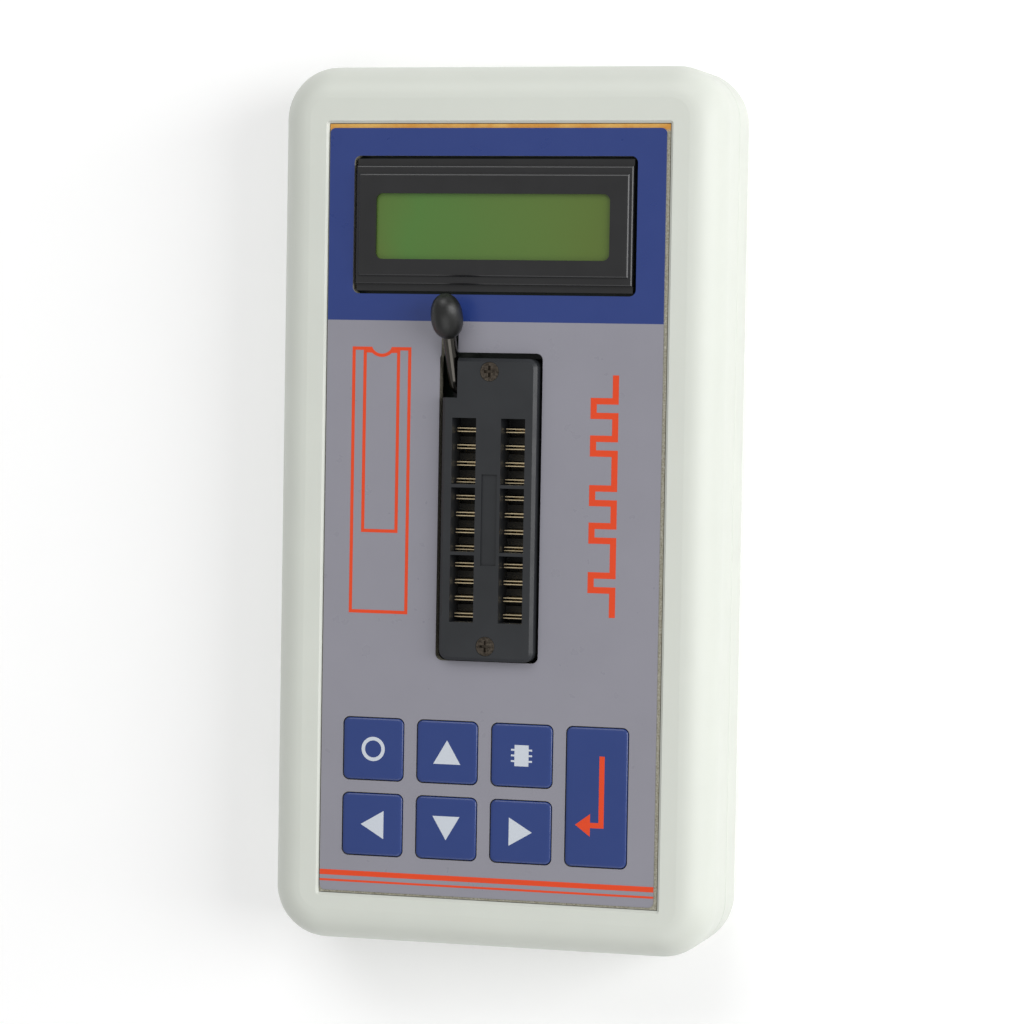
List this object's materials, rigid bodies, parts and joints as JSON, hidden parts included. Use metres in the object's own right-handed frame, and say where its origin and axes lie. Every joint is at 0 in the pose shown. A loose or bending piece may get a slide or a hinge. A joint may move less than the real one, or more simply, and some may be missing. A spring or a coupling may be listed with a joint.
{
  "type": "component tester",
  "caption": "Hand-held component tester with a small display, a keypad and a lever-operated zero-force test socket in a rounded plastic case.",
  "frame": {"origin": "middle of the back face, on the surface that the tester lies on", "axes": "+Z out of the front panel, +Y towards the display end, +X to the right as a reader holds it"},
  "size_m": [0.069, 0.1334, 0.0284],
  "materials": {
    "case_plastic": "fine matte grain, pale warm grey",
    "screw_steel": "zinc plated",
    "socket_screw_steel": "dull nickel, worn edges",
    "circuit_board": "bare glass-fibre laminate",
    "circuit_board_green": "green solder mask",
    "printed_film": "satin printed polyester film",
    "key_film": "satin embossed polyester",
    "bezel_metal": "satin black paint",
    "display_glass": "matt polariser",
    "light_guide": "milky",
    "connector_plastic": "moulded",
    "socket_plastic": "moulded, slight sheen",
    "contact_gold": "thin gold plating",
    "lever_steel": "polished nickel",
    "knob_plastic": "dipped plastic, satin",
    "chip_plastic": "moulded",
    "can_steel": "drawn can",
    "can_sleeve": "shrink sleeve",
    "contact_steel": "nickel plated",
    "dome_steel": "stainless",
    "cell_wrap": "plain printed wrap"
  },
  "bodies": {
    "tester": {"battery_cell_1": "cell_wrap", "battery_cell_2": "cell_wrap", "battery_cell_3": "cell_wrap", "battery_cell_4": "cell_wrap", "battery_plates": "contact_steel", "battery_springs": "contact_steel", "board_screws": "screw_steel", "bottom_shell": "case_plastic", "buzzer": "chip_plastic", "capacitors": "can_sleeve", "case_screws": "screw_steel", "crystal": "can_steel", "display_bezel": "bezel_metal", "display_board": "circuit_board_green", "display_glass": "display_glass", "display_header": "connector_plastic", "display_light_guide": "light_guide", "dome_chip": "dome_steel", "dome_circle": "dome_steel", "dome_down": "dome_steel", "dome_enter": "dome_steel", "dome_left": "dome_steel", "dome_right": "dome_steel", "dome_up": "dome_steel", "driver_chip_lower": "chip_plastic", "driver_chip_upper": "chip_plastic", "main_board": "circuit_board_green", "microcontroller": "chip_plastic", "panel_board": "circuit_board", "panel_film": "printed_film", "panel_header": "connector_plastic", "socket_base": "socket_plastic", "socket_contacts_left": "contact_gold", "socket_contacts_right": "contact_gold", "socket_cover": "socket_plastic", "socket_screws": "socket_screw_steel", "top_shell": "case_plastic", "voltage_regulator": "chip_plastic"},
    "lever": {"lever_wire": "lever_steel", "lever_knob": "knob_plastic"},
    "slider": {"socket_slider": "socket_plastic"},
    "door": {"battery_door": "case_plastic"},
    "key_circle": {"key_circle": "key_film"},
    "key_up": {"key_up": "key_film"},
    "key_chip": {"key_chip": "key_film"},
    "key_left": {"key_left": "key_film"},
    "key_down": {"key_down": "key_film"},
    "key_right": {"key_right": "key_film"},
    "key_enter": {"key_enter": "key_film"}
  },
  "joints": [
    {"name": "lever_turn", "type": "hinge", "parent": "tester", "child": "lever", "pos_m": [-0.00635, 0.01782, 0.02], "axis": [1, 0, 0], "range_deg": [0, 60]},
    {"name": "slider_shift", "type": "slide", "parent": "tester", "child": "slider", "axis": [0, 1, 0], "range_m": [0, 0.00061]},
    {"name": "door_slide", "type": "slide", "parent": "tester", "child": "door", "axis": [0, -1, 0], "range_m": [0, 0.044]},
    {"name": "press_circle", "type": "slide", "parent": "tester", "child": "key_circle", "axis": [0, 0, -1], "range_m": [0, 0.00035], "stiffness_N_per_m": 4000, "springref_m": -0.00005, "deforming": ["dome_circle"]},
    {"name": "press_up", "type": "slide", "parent": "tester", "child": "key_up", "axis": [0, 0, -1], "range_m": [0, 0.00035], "stiffness_N_per_m": 4000, "springref_m": -0.00005, "deforming": ["dome_up"]},
    {"name": "press_chip", "type": "slide", "parent": "tester", "child": "key_chip", "axis": [0, 0, -1], "range_m": [0, 0.00035], "stiffness_N_per_m": 4000, "springref_m": -0.00005, "deforming": ["dome_chip"]},
    {"name": "press_left", "type": "slide", "parent": "tester", "child": "key_left", "axis": [0, 0, -1], "range_m": [0, 0.00035], "stiffness_N_per_m": 4000, "springref_m": -0.00005, "deforming": ["dome_left"]},
    {"name": "press_down", "type": "slide", "parent": "tester", "child": "key_down", "axis": [0, 0, -1], "range_m": [0, 0.00035], "stiffness_N_per_m": 4000, "springref_m": -0.00005, "deforming": ["dome_down"]},
    {"name": "press_right", "type": "slide", "parent": "tester", "child": "key_right", "axis": [0, 0, -1], "range_m": [0, 0.00035], "stiffness_N_per_m": 4000, "springref_m": -0.00005, "deforming": ["dome_right"]},
    {"name": "press_enter", "type": "slide", "parent": "tester", "child": "key_enter", "axis": [0, 0, -1], "range_m": [0, 0.00035], "stiffness_N_per_m": 4000, "springref_m": -0.00005, "deforming": ["dome_enter"]}
  ],
  "couplings": [
    {"joint": "slider_shift", "follows": "lever_turn", "m_per_rad": 0.000573}
  ]
}
